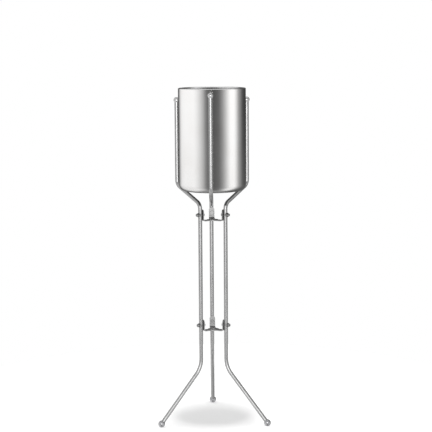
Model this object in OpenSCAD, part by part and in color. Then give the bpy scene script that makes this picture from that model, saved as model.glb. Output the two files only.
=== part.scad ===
// Champagne cooler on a three-rod floor stand.
// Three bent rods are bolted to two star brackets. They splay out below as legs and open above into a
// cradle, in which a double-walled cooler stands. Origin: on the floor, on the axis of the column.

/* [Rods] */
// Diameter of the rods
rod_d = 7; // [6:0.5:9]
// Distance from the axis to the rods' centres in the column
column_r = 26; // [24:1:30]
// Distance from the axis to the uprights' centres in the cradle
cradle_r = 73; // [71:1:74]
// Distance from the axis to the centres of the feet
foot_r = 109; // [90:1:130]
// Height at which the column's line meets the leg's line
leg_z = 98.5; // [90:0.5:110]
// Height at which the column's line meets the side rods' slanted line
side_neck_z = 395; // [394:0.5:398]
// Height at which the side uprights' line meets their slanted line
side_seat_z = 425.5; // [423:0.1:425.8]
// Height at which the column's line meets the crossing rod's slanted line
cross_neck_z = 397; // [396.5:0.5:400]
// Height at which the crossing rod's upright meets its slanted line
cross_seat_z = 420; // [416:0.1:420.3]
// Height of the centres of the two side finials
side_top_z = 578; // [560:1:590]
// Height of the centre of the front finial
front_top_z = 590; // [560:1:600]
// Bend radius of the rods' centreline under the cooler
neck_bend_r = 14; // [10:1:16]
// Bend radius of the rods' centreline above the legs
leg_bend_r = 40; // [20:1:50]
// How much the rods' radius swells in a bend
bend_swell = 0.05; // [0.03:0.01:0.1]

/* [Balls] */
// Diameter of the finials on the uprights
finial_d = 10; // [9:0.5:13]
// Diameter of the ball feet
foot_d = 12; // [11:0.5:16]
// How far the rods go past a ball's centre
ball_seat = 1; // [0:0.25:1.5]

/* [Star brackets] */
// Height of the lower bracket's underside
lower_bracket_z = 164.5; // [140:0.5:200]
// Height of the upper bracket's underside
upper_bracket_z = 364.2; // [330:0.1:364.5]
// Thickness of the brackets' sheet
sheet_t = 1.6; // [1:0.1:2]
// Width of a bracket's arms and tabs
tab_w = 10; // [9:0.5:12]
// Height of the tabs above the underside
tab_h = 21; // [18:0.5:21]
// Height of the tabs' holes above the underside
hole_h = 11.5; // [10:0.1:12.5]
// Inner radius of the bend between arm and tab
sheet_bend_r = 3; // [1.5:0.1:3.2]
// Diameter of the hub in the middle of a bracket
hub_d = 20; // [16:1:24]
// Diameter of the drain hole in the hub
hub_hole_d = 6; // [4:0.5:8]

/* [Fasteners] */
// Diameter of the screws' shanks
screw_d = 3; // [2.5:0.5:3]
// Diameter of the clearance holes in rods and tabs
screw_hole_d = 3.3; // [3.2:0.1:3.6]
// Diameter of the screw heads
head_d = 5.5; // [5:0.1:6.4]
// Height of the straight side of a screw head
head_side_h = 2.8; // [1.5:0.1:3]
// Height of the dome on top of that
head_dome_h = 1.6; // [1:0.1:2.5]
// Width of the slot in a screw head
slot_w = 0.8; // [0.6:0.1:1]
// Depth of the slot in a screw head
slot_depth = 1.2; // [0.8:0.1:1.4]
// Diameter of the washers under the heads
washer_d = 8; // [6.5:0.1:8.5]
// Thickness of the washers
washer_t = 0.8; // [0.5:0.1:1]
// Width of the nuts across their flats
nut_af = 5.5; // [5.5:0.1:6]
// Thickness of the nuts
nut_t = 2.4; // [2:0.1:2.6]
// How far a screw's end stands out of its nut
screw_end = 1; // [0.5:0.1:1.5]

/* [Cooler] */
// Outer diameter of the cooler
cooler_d = 120; // [112:1:122]
// Height of the cooler
cooler_h = 182; // [170:1:200]
// Height of the cooler's underside above the floor
cooler_z = 418.5; // [418.4:0.1:421]
// Radius of the cooler's rounded bottom corner
corner_r = 12; // [10:0.5:14]
// Thickness of the steel sheet of both walls
wall_t = 0.8; // [0.6:0.1:1.2]
// Outer diameter of the liner's well
well_d = 104; // [96:1:106]
// Height of the liner's underside above the cooler's underside
liner_lift = 9; // [6:0.5:12]
// Radius of the liner's bottom corner
liner_corner_r = 10; // [6:0.5:12]
// Radius of the rolled rim
rim_r = 1.6; // [1.2:0.1:2]
// Diameter of the opening in the shell's floor, which the base plate closes
base_opening_d = 76; // [60:1:84]
// Diameter of the base plate
base_d = 84; // [70:1:90]
// Depth of the base plate's pressed recess
base_recess = 2; // [1:0.1:3]
// Gap between the recess and the edge of the opening around it
recess_gap = 3.2; // [2:0.1:5]

/* [Hidden] */
$fn = 96;

// Directions of the three feet, seen from above; the side columns stand over theirs
left_az = 210;
right_az = 330;
back_az = 90;
// Directions of the uprights
left_top_az = 150;
right_top_az = 30;
front_top_az = 267;

rod_r = rod_d / 2;
foot_z = foot_d / 2;
lower_screw_z = lower_bracket_z + hole_h;
upper_screw_z = upper_bracket_z + hole_h;
tab_out = column_r - rod_r;
tab_in = tab_out - sheet_t;
nut_in = tab_in - nut_t;
shank_len = column_r + rod_r + washer_t - nut_in + screw_end;
cooler_r = cooler_d / 2;
well_r = well_d / 2;
// A cut that goes right through a thin wall reaches this far past it on each side
reach = 1;
// The rods' straight pieces reach this far into their bends
bend_lap = 0.4;
// The way the seams of the straight pieces face: off every rod's own plane
seam_side = [1, 0.3, 0];

// A point at an azimuth, a radius and a height
function polar(az, r, z) = [r * cos(az), r * sin(az), z];
function unit(v) = v / norm(v);

// The crossing rod is bent in one upright plane, through its foot and its upright. Its column stands where
// that plane meets the columns' circle, on the side of the foot.
cross_along = unit(polar(back_az, foot_r, 0) - polar(front_top_az, cradle_r, 0));
cross_nearest = polar(back_az, foot_r, 0) - cross_along * (polar(back_az, foot_r, 0) * cross_along);
cross_column = cross_nearest + cross_along * sqrt(column_r * column_r - cross_nearest * cross_nearest);
cross_az = atan2(cross_column[1], cross_column[0]);

// Half the angle that a path turns through at point b
function half_turn(a, b, c) = acos(unit(b - a) * unit(c - b)) / 2;
// The length of straight line that a bend of radius r takes up on each side of point b
function bend_cut(a, b, c, r) = r * tan(half_turn(a, b, c));

// Moves its children so that their +Z runs along z_dir and their +X as near as it can along x_dir, at p
module place(p, z_dir, x_dir) {
    z = unit(z_dir);
    y = unit(cross(z, x_dir));
    x = cross(y, z);
    multmatrix([
        [x[0], y[0], z[0], p[0]],
        [x[1], y[1], z[1], p[1]],
        [x[2], y[2], z[2], p[2]],
        [0, 0, 0, 1]
    ]) children();
}

// A straight piece of rod from a to b, which goes on into the bends by lap_a and lap_b
module bar(a, b, lap_a, lap_b) {
    place(a - unit(b - a) * lap_a, b - a, seam_side)
        cylinder(h = norm(b - a) + lap_a + lap_b, r = rod_r);
}

// The bend at b of a path that comes from a and goes on to c
module elbow(a, b, c, r) {
    turn = 2 * half_turn(a, b, c);
    start = b - unit(b - a) * bend_cut(a, b, c, r);
    // From the start of the bend towards its centre
    inward = unit(unit(c - b) - unit(b - a) * (unit(c - b) * unit(b - a)));
    centre = start + inward * r;
    place(centre, cross(-inward, unit(b - a)), -inward)
        rotate_extrude(angle = turn) translate([r, 0]) circle(r = rod_r + bend_swell);
}

// A rod along points p, with bend radii r at all points but the first and the last
module bent_rod(p, r) {
    last = len(p) - 1;
    cuts = [for (i = [0:last]) i == 0 || i == last ? 0 : bend_cut(p[i - 1], p[i], p[i + 1], r[i])];
    for (i = [0:last - 1]) {
        along = unit(p[i + 1] - p[i]);
        bar(
            p[i] + along * cuts[i], p[i + 1] - along * cuts[i + 1],
            i == 0 ? 0 : bend_lap, i + 1 == last ? 0 : bend_lap
        );
    }
    for (i = [1:last - 1])
        elbow(p[i - 1], p[i], p[i + 1], r[i]);
}

// A leg, column, slanted neck and upright in one rod, drilled for its two screws
module stand_rod(foot_az, column_az, top_az, neck_z, seat_z, top_z) {
    foot = polar(foot_az, foot_r, foot_z);
    knee = polar(column_az, column_r, leg_z);
    neck = polar(column_az, column_r, neck_z);
    seat = polar(top_az, cradle_r, seat_z);
    top = polar(top_az, cradle_r, top_z);
    // The rod's lower end lies just past the middle of its ball foot
    end = foot + unit(foot - knee) * ball_seat;
    difference() {
        bent_rod(
            [end, knee, neck, seat, top + [0, 0, ball_seat]],
            [0, leg_bend_r, neck_bend_r, neck_bend_r, 0]
        );
        for (z = [lower_screw_z, upper_screw_z])
            place(polar(column_az, tab_in, z), polar(column_az, 1, 0), [0, 0, 1])
                cylinder(h = rod_d + 2 * sheet_t, d = screw_hole_d);
    }
}

// A ball with a blind seat for the end of a rod, which comes in from direction from
module ball(centre, d, from) {
    place(centre, from, [1, 0, 0]) difference() {
        sphere(d = d);
        translate([0, 0, -ball_seat]) cylinder(h = d, r = rod_r);
    }
}

module finial(top_az, top_z) {
    ball(polar(top_az, cradle_r, top_z), finial_d, [0, 0, -1]);
}

module foot(foot_az, column_az) {
    foot = polar(foot_az, foot_r, foot_z);
    knee = polar(column_az, column_r, leg_z);
    ball(foot, foot_d, knee - foot);
}

// One arm of a star bracket along +X, with its upturned tab
module bracket_arm() {
    bend_out_r = sheet_bend_r + sheet_t;
    bend_x = tab_out - bend_out_r;
    round_r = tab_w / 2;
    difference() {
        union() {
            translate([0, -round_r, 0]) cube([bend_x, tab_w, sheet_t]);
            translate([bend_x, round_r, bend_out_r]) rotate([90, 0, 0]) rotate([0, 0, -90])
                linear_extrude(height = tab_w) difference() {
                    intersection() {
                        circle(r = bend_out_r);
                        square(bend_out_r);
                    }
                    circle(r = sheet_bend_r);
                }
            translate([tab_in, -round_r, bend_out_r])
                cube([sheet_t, tab_w, tab_h - round_r - bend_out_r]);
            translate([tab_in, 0, tab_h - round_r]) rotate([0, 90, 0]) cylinder(h = sheet_t, r = round_r);
        }
        translate([tab_in - reach, 0, hole_h]) rotate([0, 90, 0])
            cylinder(h = sheet_t + 2 * reach, d = screw_hole_d);
    }
}

module star_bracket(z) {
    translate([0, 0, z]) difference() {
        union() {
            cylinder(h = sheet_t, d = hub_d);
            for (az = [left_az, right_az, cross_az])
                rotate([0, 0, az]) bracket_arm();
        }
        translate([0, 0, -reach]) cylinder(h = sheet_t + 2 * reach, d = hub_hole_d);
    }
}

// Puts its children at a screw's place: +X runs outwards along the screw, from the column's axis
module at_screw(column_az, z) {
    translate([0, 0, z]) rotate([0, 0, column_az]) children();
}

// A slotted screw with a tall domed head, put in from outside
module screw() {
    seat_x = column_r + rod_r + washer_t;
    head_h = head_side_h + head_dome_h;
    dome_r = (head_d * head_d / 4 + head_dome_h * head_dome_h) / (2 * head_dome_h);
    difference() {
        union() {
            translate([seat_x - shank_len, 0, 0]) rotate([0, 90, 0]) cylinder(h = shank_len, d = screw_d);
            translate([seat_x, 0, 0]) rotate([0, 90, 0]) rotate_extrude() {
                square([head_d / 2, head_side_h]);
                intersection() {
                    translate([0, head_h - dome_r]) circle(r = dome_r);
                    translate([0, head_side_h]) square([head_d / 2, head_dome_h]);
                }
            }
        }
        translate([seat_x + head_h - slot_depth, -head_d, -slot_w / 2]) cube([head_h, 2 * head_d, slot_w]);
    }
}

// A washer, dished on the side that lies on the rod
module washer() {
    difference() {
        translate([column_r, 0, 0]) rotate([0, 90, 0]) cylinder(h = rod_r + washer_t, d = washer_d);
        translate([column_r, 0, -washer_d]) cylinder(h = 2 * washer_d, r = rod_r);
        rotate([0, 90, 0]) cylinder(h = 2 * column_r, d = screw_hole_d);
    }
}

// A hexagon nut on the inner side of a tab
module nut() {
    translate([nut_in, 0, 0]) rotate([0, 90, 0]) difference() {
        cylinder(h = nut_t, d = nut_af / cos(30), $fn = 6);
        translate([0, 0, -reach]) cylinder(h = nut_t + 2 * reach, d = screw_d);
    }
}

// The section of a cup's wall: outer radius r, height h, outer bottom corner c, thickness t
module cup_section(r, h, c, t) {
    difference() {
        union() {
            translate([0, c]) square([r, h - c]);
            square([r - c, c]);
            translate([r - c, c]) circle(r = c);
        }
        translate([-reach, c]) square([r - t + reach, h]);
        translate([-reach, t]) square([r - c + reach, h]);
        translate([r - c, c]) circle(r = c - t);
    }
}

// The outer wall of the cooler, open at the top and in the middle of its floor
module shell() {
    translate([0, 0, cooler_z]) rotate_extrude() difference() {
        cup_section(cooler_r, cooler_h - rim_r, corner_r, wall_t);
        translate([-reach, -reach]) square([base_opening_d / 2 + reach, corner_r]);
    }
}

// The inner wall, whose rolled rim lies on top of the outer wall
module liner() {
    rim_z = cooler_h - rim_r;
    translate([0, 0, cooler_z]) rotate_extrude() {
        translate([0, liner_lift]) cup_section(well_r, rim_z - liner_lift, liner_corner_r, wall_t);
        translate([well_r - wall_t, rim_z]) square([cooler_r - rim_r - well_r + wall_t, rim_r]);
        translate([cooler_r - rim_r, rim_z]) intersection() {
            circle(r = rim_r);
            square(rim_r);
        }
    }
}

// The pressed plate that closes the outer wall's floor from inside
module base() {
    recess_r = base_opening_d / 2 - recess_gap;
    translate([0, 0, cooler_z]) rotate_extrude() {
        translate([recess_r - wall_t, wall_t]) square([base_d / 2 - recess_r + wall_t, wall_t]);
        translate([recess_r - wall_t, wall_t]) square([wall_t, base_recess + wall_t]);
        translate([0, wall_t + base_recess]) square([recess_r, wall_t]);
    }
}

module rod_left() {
    color("silver") stand_rod(left_az, left_az, left_top_az, side_neck_z, side_seat_z, side_top_z);
}

module rod_right() {
    color("silver") stand_rod(right_az, right_az, right_top_az, side_neck_z, side_seat_z, side_top_z);
}

// This rod passes under the cooler, from the front upright to the back leg
module rod_crossing() {
    color("silver") stand_rod(back_az, cross_az, front_top_az, cross_neck_z, cross_seat_z, front_top_z);
}

module cooler_shell() {
    color("gainsboro") shell();
}

module cooler_liner() {
    color("lightgray") liner();
}

module cooler_base() {
    color("darkgray") base();
}

rod_left();
rod_right();
rod_crossing();
color("silver") finial(left_top_az, side_top_z);  // finial_left
color("silver") finial(right_top_az, side_top_z);  // finial_right
color("silver") finial(front_top_az, front_top_z);  // finial_front
color("darkgray") foot(left_az, left_az);  // foot_left
color("darkgray") foot(right_az, right_az);  // foot_right
color("darkgray") foot(back_az, cross_az);  // foot_back
color("gray") star_bracket(lower_bracket_z);  // bracket_lower
color("gray") star_bracket(upper_bracket_z);  // bracket_upper
color("dimgray") at_screw(left_az, lower_screw_z) screw();  // screw_lower_left
color("dimgray") at_screw(right_az, lower_screw_z) screw();  // screw_lower_right
color("dimgray") at_screw(cross_az, lower_screw_z) screw();  // screw_lower_back
color("dimgray") at_screw(left_az, upper_screw_z) screw();  // screw_upper_left
color("dimgray") at_screw(right_az, upper_screw_z) screw();  // screw_upper_right
color("dimgray") at_screw(cross_az, upper_screw_z) screw();  // screw_upper_back
color("gray") at_screw(left_az, lower_screw_z) washer();  // washer_lower_left
color("gray") at_screw(right_az, lower_screw_z) washer();  // washer_lower_right
color("gray") at_screw(cross_az, lower_screw_z) washer();  // washer_lower_back
color("gray") at_screw(left_az, upper_screw_z) washer();  // washer_upper_left
color("gray") at_screw(right_az, upper_screw_z) washer();  // washer_upper_right
color("gray") at_screw(cross_az, upper_screw_z) washer();  // washer_upper_back
color("gray") at_screw(left_az, lower_screw_z) nut();  // nut_lower_left
color("gray") at_screw(right_az, lower_screw_z) nut();  // nut_lower_right
color("gray") at_screw(cross_az, lower_screw_z) nut();  // nut_lower_back
color("gray") at_screw(left_az, upper_screw_z) nut();  // nut_upper_left
color("gray") at_screw(right_az, upper_screw_z) nut();  // nut_upper_right
color("gray") at_screw(cross_az, upper_screw_z) nut();  // nut_upper_back
cooler_shell();
cooler_liner();
cooler_base();
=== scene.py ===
"""The looks of a champagne cooler on a three-rod floor stand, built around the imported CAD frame."""

import math

import bmesh
import bpy
from mathutils import Matrix, Vector


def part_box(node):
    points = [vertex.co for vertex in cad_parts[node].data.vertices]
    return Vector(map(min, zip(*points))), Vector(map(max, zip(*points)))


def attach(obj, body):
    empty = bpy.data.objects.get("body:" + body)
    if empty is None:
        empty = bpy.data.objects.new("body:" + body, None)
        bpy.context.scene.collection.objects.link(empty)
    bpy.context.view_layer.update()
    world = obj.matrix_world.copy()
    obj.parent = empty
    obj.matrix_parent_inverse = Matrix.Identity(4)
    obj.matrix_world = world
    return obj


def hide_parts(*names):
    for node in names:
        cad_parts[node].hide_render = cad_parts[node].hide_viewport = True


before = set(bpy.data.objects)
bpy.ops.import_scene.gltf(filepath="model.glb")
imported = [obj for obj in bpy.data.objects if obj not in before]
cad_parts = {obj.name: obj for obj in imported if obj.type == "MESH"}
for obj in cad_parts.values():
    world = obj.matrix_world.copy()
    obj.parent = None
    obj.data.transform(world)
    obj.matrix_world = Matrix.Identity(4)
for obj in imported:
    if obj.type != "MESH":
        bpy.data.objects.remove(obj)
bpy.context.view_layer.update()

# ---------------------------------------------------------------- sizes, in metres

ROD_R = 0.0035
COLUMN_R = 0.026
# The height at which the line of a leg meets that of its column
LEG_Z = 0.0985
LEG_BEND_R = 0.040
NECK_BEND_R = 0.014
# How far past the middle of a ball its rod reaches
BALL_SEAT = 0.001
# Each rod: its foot, a washer on its column, its finial, and the heights at which the line of its slanted
# neck meets those of its column and its upright
RODS = {
    "rod_left": ("foot_left", "washer_lower_left", "finial_left", 0.395, 0.4255),
    "rod_right": ("foot_right", "washer_lower_right", "finial_right", 0.395, 0.4255),
    "rod_crossing": ("foot_back", "washer_lower_back", "finial_front", 0.397, 0.420),
}
ROD_SIDES = 48
# How far apart a rod's rings are, by angle in a bend and by length on a straight
BEND_STEP = math.radians(3)
STRAIGHT_STEP = 0.012
# Edges sharper than this are shaded as edges
SHARP_ANGLE = math.radians(35)

WALL_T = 0.0008
CORNER_R = 0.012
RIM_R = 0.0016
BASE_OPENING_R = 0.038
WELL_R = 0.052
WELL_CORNER_R = 0.010
# How many flat steps make up each of the cooler's rounded corners, and its circumference
CORNER_STEPS = 24
WELL_CORNER_STEPS = 16
RIM_STEPS = 8
LATHE_SIDES = 256


def ball_centre(node):
    """The centre of a ball, from its box: its top and its width are whole, its underside may be bored."""
    low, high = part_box(node)
    radius = (high.x - low.x) / 2
    return Vector(((low.x + high.x) / 2, (low.y + high.y) / 2, high.z - radius))


# ---------------------------------------------------------------- mesh helpers

def new_object(name, bm):
    """Turns a bmesh into an object of the scene, smooth but for its sharp edges."""
    mesh = bpy.data.meshes.new(name)
    bm.normal_update()
    bm.to_mesh(mesh)
    bm.free()
    mesh.shade_smooth()
    mesh.set_sharp_from_angle(angle=SHARP_ANGLE)
    piece = bpy.data.objects.new(name, mesh)
    bpy.context.scene.collection.objects.link(piece)
    return piece


def bend(before, corner, after, radius):
    """Points along the arc of a radius that rounds the corner of a path."""
    arrive = (corner - before).normalized()
    leave = (after - corner).normalized()
    turn = arrive.angle(leave)
    start = corner - arrive * radius * math.tan(turn / 2)
    inward = (leave - arrive * arrive.dot(leave)).normalized()
    steps = max(2, round(turn / BEND_STEP))
    angles = [turn * i / steps for i in range(steps + 1)]
    return [start + arrive * radius * math.sin(a) + inward * radius * (1 - math.cos(a)) for a in angles]


def fill(start, end, step):
    """Points on the straight line from start to end, both left out."""
    count = int((end - start).length / step)
    return [start.lerp(end, i / (count + 1)) for i in range(1, count + 1)]


def rod_path(foot_node, washer_node, finial_node, neck_z, seat_z):
    """The centreline of one rod, from just past the middle of its foot to just past that of its finial."""
    foot = ball_centre(foot_node)
    finial = ball_centre(finial_node)
    washer_low, washer_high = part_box(washer_node)
    washer = (washer_low + washer_high) / 2
    out = Vector((washer.x, washer.y, 0)).normalized()
    knee = out * COLUMN_R + Vector((0, 0, LEG_Z))
    neck = out * COLUMN_R + Vector((0, 0, neck_z))
    seat = Vector((finial.x, finial.y, seat_z))
    first = foot + (foot - knee).normalized() * BALL_SEAT
    last = finial + Vector((0, 0, BALL_SEAT))
    arcs = [
        bend(first, knee, neck, LEG_BEND_R),
        bend(knee, neck, seat, NECK_BEND_R),
        bend(neck, seat, last, NECK_BEND_R),
    ]
    points = [first]
    for arc in arcs:
        points += fill(points[-1], arc[0], STRAIGHT_STEP) + arc
    return points + fill(points[-1], last, STRAIGHT_STEP) + [last]


def sweep(name, points, radius, sides):
    """A round bar along points. Its attribute rod_space is the place round and along it, for its grain."""
    bm = bmesh.new()
    layer = bm.verts.layers.float_vector.new("rod_space")
    tangent = (points[1] - points[0]).normalized()
    side = tangent.orthogonal().normalized()
    rings = []
    travelled = 0.0
    for i, point in enumerate(points):
        before = points[max(i - 1, 0)]
        after = points[min(i + 1, len(points) - 1)]
        turned = (after - before).normalized()
        side = tangent.rotation_difference(turned) @ side
        tangent = turned
        up = tangent.cross(side)
        travelled += (point - before).length
        ring = []
        for k in range(sides):
            angle = 2 * math.pi * k / sides
            out = side * math.cos(angle) + up * math.sin(angle)
            vert = bm.verts.new(point + out * radius)
            vert[layer] = Vector((math.cos(angle), math.sin(angle), travelled))
            ring.append(vert)
        rings.append(ring)
    for low, high in zip(rings, rings[1:]):
        for k in range(sides):
            bm.faces.new((low[k], low[(k + 1) % sides], high[(k + 1) % sides], high[k]))
    bm.faces.new(list(reversed(rings[0])))
    bm.faces.new(rings[-1])
    return new_object(name, bm)


def arc(centre, radius, start, end, steps):
    """Points (radius, height) of a profile's arc, with angles in degrees from the outward direction."""
    angles = [math.radians(start + (end - start) * i / steps) for i in range(steps + 1)]
    return [(centre[0] + radius * math.cos(a), centre[1] + radius * math.sin(a)) for a in angles]


def lathe(name, profile):
    """Turns a closed profile of (radius, height) points round the vertical axis."""
    bm = bmesh.new()
    columns = []
    for k in range(LATHE_SIDES):
        angle = 2 * math.pi * k / LATHE_SIDES
        column = [
            bm.verts.new((r * math.cos(angle), r * math.sin(angle), z)) if r > 0 else None
            for r, z in profile
        ]
        columns.append(column)
    centres = {i: bm.verts.new((0, 0, z)) for i, (r, z) in enumerate(profile) if r <= 0}
    count = len(profile)
    for k in range(LATHE_SIDES):
        here, there = columns[k], columns[(k + 1) % LATHE_SIDES]
        for i in range(count):
            j = (i + 1) % count
            corners = ((here, i), (there, i), (there, j), (here, j))
            verts = [column[place] or centres[place] for column, place in corners]
            # A face that ends on the axis is a triangle, and one that lies on the axis is no face
            unique = list(dict.fromkeys(verts))
            if len(unique) > 2:
                bm.faces.new(unique)
    bmesh.ops.recalc_face_normals(bm, faces=bm.faces)
    return new_object(name, bm)


# ---------------------------------------------------------------- materials

def link(tree, source, target):
    tree.links.new(source, target)


def add(tree, kind, **settings):
    node = tree.nodes.new(kind)
    for key, value in settings.items():
        setattr(node, key, value)
    return node


def grey(value):
    return value, value, value


def ramp(tree, factor, stops):
    """A colour ramp of grey stops [(place, brightness), ...]."""
    node = add(tree, "ShaderNodeValToRGB")
    elements = node.color_ramp.elements
    elements[0].position, elements[1].position = stops[0][0], stops[-1][0]
    for place, _ in stops[1:-1]:
        elements.new(place)
    for element, (_, value) in zip(elements, stops):
        element.color = (*grey(value), 1)
    link(tree, factor, node.inputs["Fac"])
    return node.outputs["Color"]


# Nearly all of a noise texture's values lie between these
NOISE_LOW = 0.3
NOISE_HIGH = 0.7


def spread(tree, factor, low, high):
    """Maps a noise texture's range to low to high."""
    node = add(tree, "ShaderNodeMapRange")
    node.inputs["From Min"].default_value = NOISE_LOW
    node.inputs["From Max"].default_value = NOISE_HIGH
    node.inputs["To Min"].default_value = low
    node.inputs["To Max"].default_value = high
    link(tree, factor, node.inputs["Value"])
    return node.outputs["Result"]


def noise(tree, place, scale, detail):
    """Noise whose scale differs by axis, per metre."""
    mapping = add(tree, "ShaderNodeMapping")
    mapping.inputs["Scale"].default_value = scale
    link(tree, place, mapping.inputs["Vector"])
    node = add(tree, "ShaderNodeTexNoise")
    node.inputs["Scale"].default_value = 1.0
    node.inputs["Detail"].default_value = detail
    link(tree, mapping.outputs["Vector"], node.inputs["Vector"])
    return node.outputs["Fac"]


def tint(tree, factor, dark, light):
    """A colour between dark and light."""
    node = add(tree, "ShaderNodeMix", data_type="RGBA")
    node.inputs["A"].default_value = (*dark, 1)
    node.inputs["B"].default_value = (*light, 1)
    link(tree, factor, node.inputs["Factor"])
    return node.outputs["Result"]


def bumped(tree, heights):
    """Chains bump nodes over (height, strength, distance in metres)."""
    normal = None
    for height, strength, distance in heights:
        node = add(tree, "ShaderNodeBump")
        node.inputs["Strength"].default_value = strength
        node.inputs["Distance"].default_value = distance
        link(tree, height, node.inputs["Height"])
        if normal:
            link(tree, normal, node.inputs["Normal"])
        normal = node.outputs["Normal"]
    return normal


def new_material(name):
    material = bpy.data.materials.new(name)
    material.use_nodes = True
    tree = material.node_tree
    return material, tree, tree.nodes["Principled BSDF"]


# How fine the noises are along each axis, per metre: a metal's blotches, the grain of a metal whose grain has
# no direction, and the grain of a brushed cooler wall, which runs round it
PATCHES = (38.0, 38.0, 31.0)
GRANULAR = (900.0, 900.0, 900.0)
AROUND = (6.0, 6.0, 2600.0)
# The same for a rod, whose first two coordinates go round a circle of radius 1
ROD_PATCHES = (0.9, 0.9, 31.0)
DRAWN = (7.0, 7.0, 5.0)
# How many finer layers of noise each kind has
GRAIN_DETAIL = 4.0
PATCH_DETAIL = 2.0
# By how much a metal's grain lowers and raises its roughness
GRAIN_ROUGHNESS = (0.85, 1.15)
# How deep a metal's grain and its lumps are, in metres
GRAIN_DEPTH = 0.00002
LUMP_DEPTH = 0.0002
# The turn of a brushed wall's highlights that spreads them up and down, across its grain
ACROSS_GRAIN = 0.25


def metal(name, place_of, grain, dark, light, rough, anisotropic=0.0, fine=0.25, lumps=0.12, patches=PATCHES):
    """A metal with grain, blotches, and roughness that follows both.

    place_of says where the coordinates come from. grain and patches are noise scales by axis. rough is
    (low, high). fine and lumps are the strengths of the grain's and the blotches' bump.
    """
    material, tree, shader = new_material(name)
    place = place_of(tree)
    lines = noise(tree, place, grain, GRAIN_DETAIL)
    blotches = noise(tree, place, patches, PATCH_DETAIL)
    link(tree, tint(tree, spread(tree, blotches, 0.0, 1.0), dark, light), shader.inputs["Base Color"])
    mixed = add(tree, "ShaderNodeMath", operation="MULTIPLY")
    link(tree, spread(tree, lines, *GRAIN_ROUGHNESS), mixed.inputs[0])
    link(tree, spread(tree, blotches, *rough), mixed.inputs[1])
    link(tree, mixed.outputs["Value"], shader.inputs["Roughness"])
    normal = bumped(tree, [(lines, fine, GRAIN_DEPTH), (blotches, lumps, LUMP_DEPTH)])
    link(tree, normal, shader.inputs["Normal"])
    shader.inputs["Metallic"].default_value = 1.0
    if anisotropic:
        shader.inputs["Anisotropic"].default_value = anisotropic
        shader.inputs["Anisotropic Rotation"].default_value = ACROSS_GRAIN
        tangent = add(tree, "ShaderNodeTangent", direction_type="RADIAL", axis="Z")
        link(tree, tangent.outputs["Tangent"], shader.inputs["Tangent"])
    return material


def object_place(tree):
    return add(tree, "ShaderNodeTexCoord").outputs["Object"]


def rod_place(tree):
    return add(tree, "ShaderNodeAttribute", attribute_name="rod_space").outputs["Vector"]


def make_materials():
    return {
        "rod": metal(
            "drawn_rod", rod_place, DRAWN, dark=grey(0.27), light=grey(0.33), rough=(0.2, 0.3),
            fine=0.15, lumps=0.05, patches=ROD_PATCHES
        ),
        "ball": metal(
            "polished_ball", object_place, GRANULAR, dark=grey(0.38), light=grey(0.46), rough=(0.14, 0.22),
            fine=0.06
        ),
        "foot": metal(
            "foot_ball", object_place, GRANULAR, dark=(0.28, 0.28, 0.29), light=(0.35, 0.35, 0.36),
            rough=(0.18, 0.26), fine=0.06
        ),
        "bracket": metal(
            "plated_sheet", object_place, GRANULAR, dark=grey(0.25), light=grey(0.33), rough=(0.4, 0.55)
        ),
        "fastener": metal(
            "plated_screw", object_place, GRANULAR, dark=grey(0.17), light=grey(0.24), rough=(0.24, 0.36),
            fine=0.1
        ),
        "outer": metal(
            "brushed_outer", object_place, AROUND, dark=(0.79, 0.78, 0.77), light=(0.82, 0.815, 0.81),
            rough=(0.18, 0.23), anisotropic=0.7, fine=0.15, lumps=0.04
        ),
        "inner": metal(
            "brushed_inner", object_place, AROUND, dark=grey(0.60), light=grey(0.66), rough=(0.3, 0.38),
            anisotropic=0.6
        ),
        "plate": metal(
            "pressed_plate", object_place, GRANULAR, dark=grey(0.50), light=grey(0.58), rough=(0.3, 0.42)
        ),
    }


# ---------------------------------------------------------------- pieces

def make_rods(materials):
    for node, path in RODS.items():
        rod = sweep(node + "_bar", rod_path(*path), ROD_R, ROD_SIDES)
        rod.data.materials.append(materials["rod"])
        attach(rod, "stand")
        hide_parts(node)
        yield rod


def make_cooler(materials):
    low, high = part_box("cooler_shell")
    shell_r, floor_z, shell_top = high.x, low.z, high.z
    corner = (shell_r - CORNER_R, floor_z + CORNER_R)
    outside = [(BASE_OPENING_R, floor_z)] + arc(corner, CORNER_R, -90, 0, CORNER_STEPS)
    top_edge = [(shell_r, shell_top), (shell_r - WALL_T, shell_top)]
    inside = arc(corner, CORNER_R - WALL_T, 0, -90, CORNER_STEPS) + [(BASE_OPENING_R, floor_z + WALL_T)]
    shell = lathe("cooler_outer_wall", outside + top_edge + inside)

    liner_low, liner_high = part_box("cooler_liner")
    bottom = liner_low.z
    rim_z = liner_high.z - RIM_R
    well_corner = (WELL_R - WELL_CORNER_R, bottom + WELL_CORNER_R)
    outer = [(0, bottom)] + arc(well_corner, WELL_CORNER_R, -90, 0, WELL_CORNER_STEPS) + [(WELL_R, rim_z)]
    rim_edge = arc((shell_r - RIM_R, rim_z), RIM_R, 0, 90, RIM_STEPS)
    lip = arc((WELL_R - WALL_T + RIM_R, rim_z), RIM_R, 90, 180, RIM_STEPS)
    inner = arc(well_corner, WELL_CORNER_R - WALL_T, 0, -90, WELL_CORNER_STEPS) + [(0, bottom + WALL_T)]
    liner = lathe("cooler_inner_wall", outer + rim_edge + lip + inner)

    for piece, node, slot, material in (
        (shell, "cooler_shell", "cooler_outer", "outer"),
        (liner, "cooler_liner", "cooler_inner", "inner"),
    ):
        piece.data.materials.append(materials[material])
        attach(piece, "bucket")
        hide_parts(node)
        yield piece


def dress_cad_nodes(materials):
    """Gives the CAD nodes that stay their materials."""
    by_start = {
        "finial": "ball", "foot": "foot", "bracket": "bracket",
        "screw": "fastener", "washer": "fastener", "nut": "fastener", "cooler_base": "plate",
    }
    for name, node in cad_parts.items():
        for start, material in by_start.items():
            if name.startswith(start):
                node.data.materials.clear()
                node.data.materials.append(materials[material])


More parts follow.
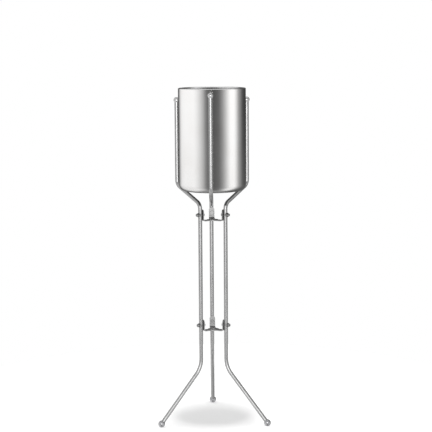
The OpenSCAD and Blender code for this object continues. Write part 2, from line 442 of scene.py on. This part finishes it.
# ---------------------------------------------------------------- studio

# What the metal sees around it: (degrees from the front, towards the right, brightness)
STUDIO = [
    (-180, 0.07), (-156, 0.08), (-147, 0.34), (-140, 0.78), (-128, 1.10), (-110, 1.22), (-66, 1.26),
    (-54, 1.10), (-42, 0.84), (-31, 0.55), (-24, 0.28), (-17, 0.15), (5, 0.08), (22, 0.14),
    (34, 0.34), (45, 0.66), (53, 0.98), (64, 1.36), (80, 1.36), (90, 0.96), (100, 0.46),
    (112, 0.25), (124, 0.09), (142, 0.04), (180, 0.07),
]
# Brightness of the studio's ceiling, and of what lies below, which the metal reflects in place of the floor
CEILING = 1.22
BELOW = 0.30
# Their share of what is seen in each direction: (0 straight down to 1 straight up, share). What lies below
# has a small share from just under the horizontal, which dims the cooler towards its bottom.
CEILING_SHARE = [(0.5, 0.0), (0.80, 0.0), (0.94, 1.0)]
BELOW_SHARE = [(0.02, 1.0), (0.08, 0.26), (0.44, 0.26), (0.465, 0.0), (0.5, 0.0)]
FLOOR_RADIUS = 0.6
FLOOR_SIDES = 96
FLOOR_MOTTLE = (3.0, 3.0, 3.0)
FLOOR_DETAIL = 3.0
FLOOR_DARK = 0.90
FLOOR_LIGHT = 0.92
FLOOR_ROUGHNESS = 0.9
# The oval lamp above that draws the cooler's shadow: its place, width, depth, and power in watts
OVERHEAD = Vector((0.002, -0.042, 2.2))
OVERHEAD_WIDTH = 0.13
OVERHEAD_DEPTH = 0.30
OVERHEAD_WATTS = 23.0
# Soft panels that light the stand and not the cooler, and that only the stand's small parts shade: (place,
# tilt from facing down, width, depth, watts). Two stand in front and put the bright line down the middle of
# each rod. One lies below, where a pale floor would throw light up.
PANELS = [
    (Vector((0, -1.8, 0.70)), math.radians(90), 1.7, 1.1, 24.0),
    (Vector((0, -1.8, -0.055)), math.radians(90), 1.7, 0.41, 4.5),
    (Vector((0, 0, -0.60)), math.radians(180), 6.0, 6.0, 62.0),
]


def make_world():
    world = bpy.data.worlds.new("studio")
    bpy.context.scene.world = world
    world.use_nodes = True
    tree = world.node_tree
    background = tree.nodes["Background"]
    direction = add(tree, "ShaderNodeSeparateXYZ")
    link(tree, add(tree, "ShaderNodeTexCoord").outputs["Generated"], direction.inputs["Vector"])
    towards = add(tree, "ShaderNodeMath", operation="MULTIPLY")
    link(tree, direction.outputs["Y"], towards.inputs[0])
    towards.inputs[1].default_value = -1.0
    azimuth = add(tree, "ShaderNodeMath", operation="ARCTAN2")
    link(tree, direction.outputs["X"], azimuth.inputs[0])
    link(tree, towards.outputs["Value"], azimuth.inputs[1])
    turn = add(tree, "ShaderNodeMapRange")
    turn.inputs["From Min"].default_value = -math.pi
    turn.inputs["From Max"].default_value = math.pi
    link(tree, azimuth.outputs["Value"], turn.inputs["Value"])
    room = ramp(tree, turn.outputs["Result"], [((a + 180) / 360, v) for a, v in STUDIO])
    # The studio's walls give way to its ceiling above and to the dark below
    height = add(tree, "ShaderNodeMapRange")
    height.inputs["From Min"].default_value = -1.0
    link(tree, direction.outputs["Z"], height.inputs["Value"])
    for stops, brightness in ((CEILING_SHARE, CEILING), (BELOW_SHARE, BELOW)):
        share = ramp(tree, height.outputs["Result"], stops)
        joined = add(tree, "ShaderNodeMix", data_type="RGBA")
        link(tree, share, joined.inputs["Factor"])
        link(tree, room, joined.inputs["A"])
        joined.inputs["B"].default_value = (*grey(brightness), 1)
        room = joined.outputs["Result"]
    # The camera sees a plain white backdrop
    seen = add(tree, "ShaderNodeMix", data_type="RGBA")
    link(tree, add(tree, "ShaderNodeLightPath").outputs["Is Camera Ray"], seen.inputs["Factor"])
    link(tree, room, seen.inputs["A"])
    seen.inputs["B"].default_value = (1, 1, 1, 1)
    link(tree, seen.outputs["Result"], background.inputs["Color"])


def make_floor():
    bm = bmesh.new()
    bmesh.ops.create_circle(bm, cap_ends=True, segments=FLOOR_SIDES, radius=FLOOR_RADIUS)
    floor = new_object("floor", bm)
    material, tree, shader = new_material("pale_floor")
    mottle = noise(tree, object_place(tree), FLOOR_MOTTLE, FLOOR_DETAIL)
    link(tree, tint(tree, mottle, grey(FLOOR_DARK), grey(FLOOR_LIGHT)), shader.inputs["Base Color"])
    shader.inputs["Roughness"].default_value = FLOOR_ROUGHNESS
    shader.inputs["Specular IOR Level"].default_value = 0.0
    floor.data.materials.append(material)
    floor.visible_glossy = False
    return floor


def gathered(name, pieces):
    """A collection of pieces, for a light to shine on or to be blocked by."""
    group = bpy.data.collections.new(name)
    for piece in pieces:
        group.objects.link(piece)
    return group


def add_light(name, kind, place, receivers, blockers):
    data = bpy.data.lights.new(name, kind)
    lamp = bpy.data.objects.new(name, data)
    bpy.context.scene.collection.objects.link(lamp)
    lamp.matrix_world = place
    lamp.visible_camera = False
    lamp.light_linking.receiver_collection = gathered(name + "_lights", receivers)
    lamp.light_linking.blocker_collection = gathered(name + "_blocked_by", blockers)
    return data


def make_lights(floor, rods, small_parts, cooler_pieces):
    # One lamp above draws the cooler's soft round shadow on the floor
    overhead = add_light("overhead", "AREA", Matrix.Translation(OVERHEAD), [floor], cooler_pieces)
    overhead.shape = "ELLIPSE"
    overhead.size = OVERHEAD_WIDTH
    overhead.size_y = OVERHEAD_DEPTH
    overhead.energy = OVERHEAD_WATTS
    for i, (middle, tilt, width, depth, watts) in enumerate(PANELS):
        place = Matrix.Translation(middle) @ Matrix.Rotation(tilt, 4, "X")
        panel = add_light(f"panel_{i}", "AREA", place, rods + small_parts, small_parts)
        panel.shape = "RECTANGLE"
        panel.size = width
        panel.size_y = depth
        panel.energy = watts


# ---------------------------------------------------------------- camera

CAMERA_AZIMUTH = math.radians(-1.0)
CAMERA_DISTANCE = 2.397
CAMERA_HEIGHT = 0.688
CAMERA_PITCH = math.radians(-7.51)
CAMERA_PAN = math.radians(-0.142)
CAMERA_ROLL = math.radians(-0.36)
# In millimetres
LENS = 112.6
SENSOR_WIDTH = 36.0


def make_camera():
    camera = bpy.data.cameras.new("camera")
    camera.lens = LENS
    camera.sensor_width = SENSOR_WIDTH
    holder = bpy.data.objects.new("camera", camera)
    bpy.context.scene.collection.objects.link(holder)
    bpy.context.scene.camera = holder
    upright = Matrix.Rotation(math.pi / 2, 4, "X")
    turn = Matrix.Rotation(CAMERA_AZIMUTH + CAMERA_PAN, 4, "Z")
    pitch = Matrix.Rotation(CAMERA_PITCH, 4, "X")
    roll = Matrix.Rotation(CAMERA_ROLL, 4, "Z")
    place = Matrix.Translation((
        math.sin(CAMERA_AZIMUTH) * CAMERA_DISTANCE,
        -math.cos(CAMERA_AZIMUTH) * CAMERA_DISTANCE,
        CAMERA_HEIGHT,
    ))
    holder.matrix_world = place @ turn @ upright @ pitch @ roll


# ---------------------------------------------------------------- all together

materials = make_materials()
rods = list(make_rods(materials))
cooler_walls = list(make_cooler(materials))
dress_cad_nodes(materials)
small_parts = [node for name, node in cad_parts.items() if not name.startswith(("rod", "cooler"))]
make_world()
make_lights(make_floor(), rods, small_parts, cooler_walls)
make_camera()
bpy.context.scene.view_settings.view_transform = "Standard"
